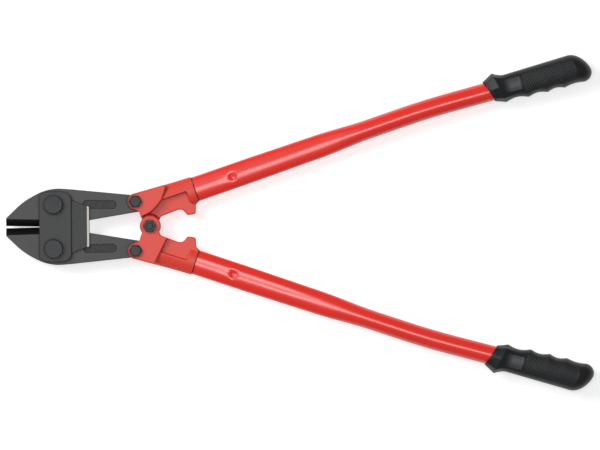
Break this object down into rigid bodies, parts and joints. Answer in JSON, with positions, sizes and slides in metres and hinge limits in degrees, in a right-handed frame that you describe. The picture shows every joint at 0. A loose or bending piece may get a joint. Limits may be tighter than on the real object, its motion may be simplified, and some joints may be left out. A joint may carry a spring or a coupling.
{
  "type": "bolt cutters",
  "caption": "Long-handled bolt cutters: two bevelled jaws between bolted plates, forged clevis sockets hinged at the centre, bent tubular handles and moulded grips.",
  "frame": {"origin": "bottom centre of the tool's box, lying flat with the jaws 1.2 degrees each from closed", "axes": "+X from the jaws to the grips along the tool's centre line, +Z out of the front plate, +Y from the lower handle to the upper one"},
  "size_m": [0.587, 0.3358, 0.032],
  "materials": {
    "jaw_steel": "satin",
    "blackened_plate": "satin",
    "fastener_steel": "dark oxide",
    "red_forging": "satin",
    "red_tube": "gloss",
    "grip_rubber": "matt"
  },
  "bodies": {
    "head": {"front_plate": "blackened_plate", "back_plate": "blackened_plate", "jaw_bolt_upper": "fastener_steel", "jaw_bolt_lower": "fastener_steel", "jaw_nut_upper": "fastener_steel", "jaw_nut_lower": "fastener_steel"},
    "upper_jaw": {"jaw_upper": "jaw_steel"},
    "lower_jaw": {"jaw_lower": "jaw_steel"},
    "upper_handle": {"socket_upper": "red_forging", "tube_upper": "red_tube", "grip_upper": "grip_rubber", "tail_bolt_upper": "fastener_steel", "tail_nut_upper": "fastener_steel"},
    "lower_handle": {"socket_lower": "red_forging", "tube_lower": "red_tube", "grip_lower": "grip_rubber", "tail_bolt_lower": "fastener_steel", "tail_nut_lower": "fastener_steel", "centre_bolt": "fastener_steel", "centre_nut": "fastener_steel", "centre_washer": "fastener_steel"}
  },
  "joints": [
    {"name": "upper_jaw_pivot", "type": "hinge", "parent": "head", "child": "upper_jaw", "pos_m": [-0.24575, 0.02195, 0.016], "axis": [0, 0, 1], "range_deg": [-7.9, 1.21]},
    {"name": "lower_jaw_pivot", "type": "hinge", "parent": "head", "child": "lower_jaw", "pos_m": [-0.24575, -0.02195, 0.016], "axis": [0, 0, 1], "range_deg": [-1.21, 7.9]},
    {"name": "upper_handle_pivot", "type": "hinge", "parent": "upper_jaw", "child": "upper_handle", "pos_m": [-0.16388, 0.02463, 0.016], "axis": [0, 0, 1], "range_deg": [-6.5, 42]},
    {"name": "lower_handle_pivot", "type": "hinge", "parent": "lower_jaw", "child": "lower_handle", "pos_m": [-0.16388, -0.02463, 0.016], "axis": [0, 0, 1], "range_deg": [-42, 6.5]}
  ],
  "couplings": [
    {"joint": "upper_jaw_pivot", "follows": "upper_handle_pivot", "ratio": -0.1843},
    {"joint": "lower_jaw_pivot", "follows": "upper_handle_pivot", "ratio": 0.1843},
    {"joint": "lower_handle_pivot", "follows": "upper_handle_pivot", "ratio": -1}
  ]
}
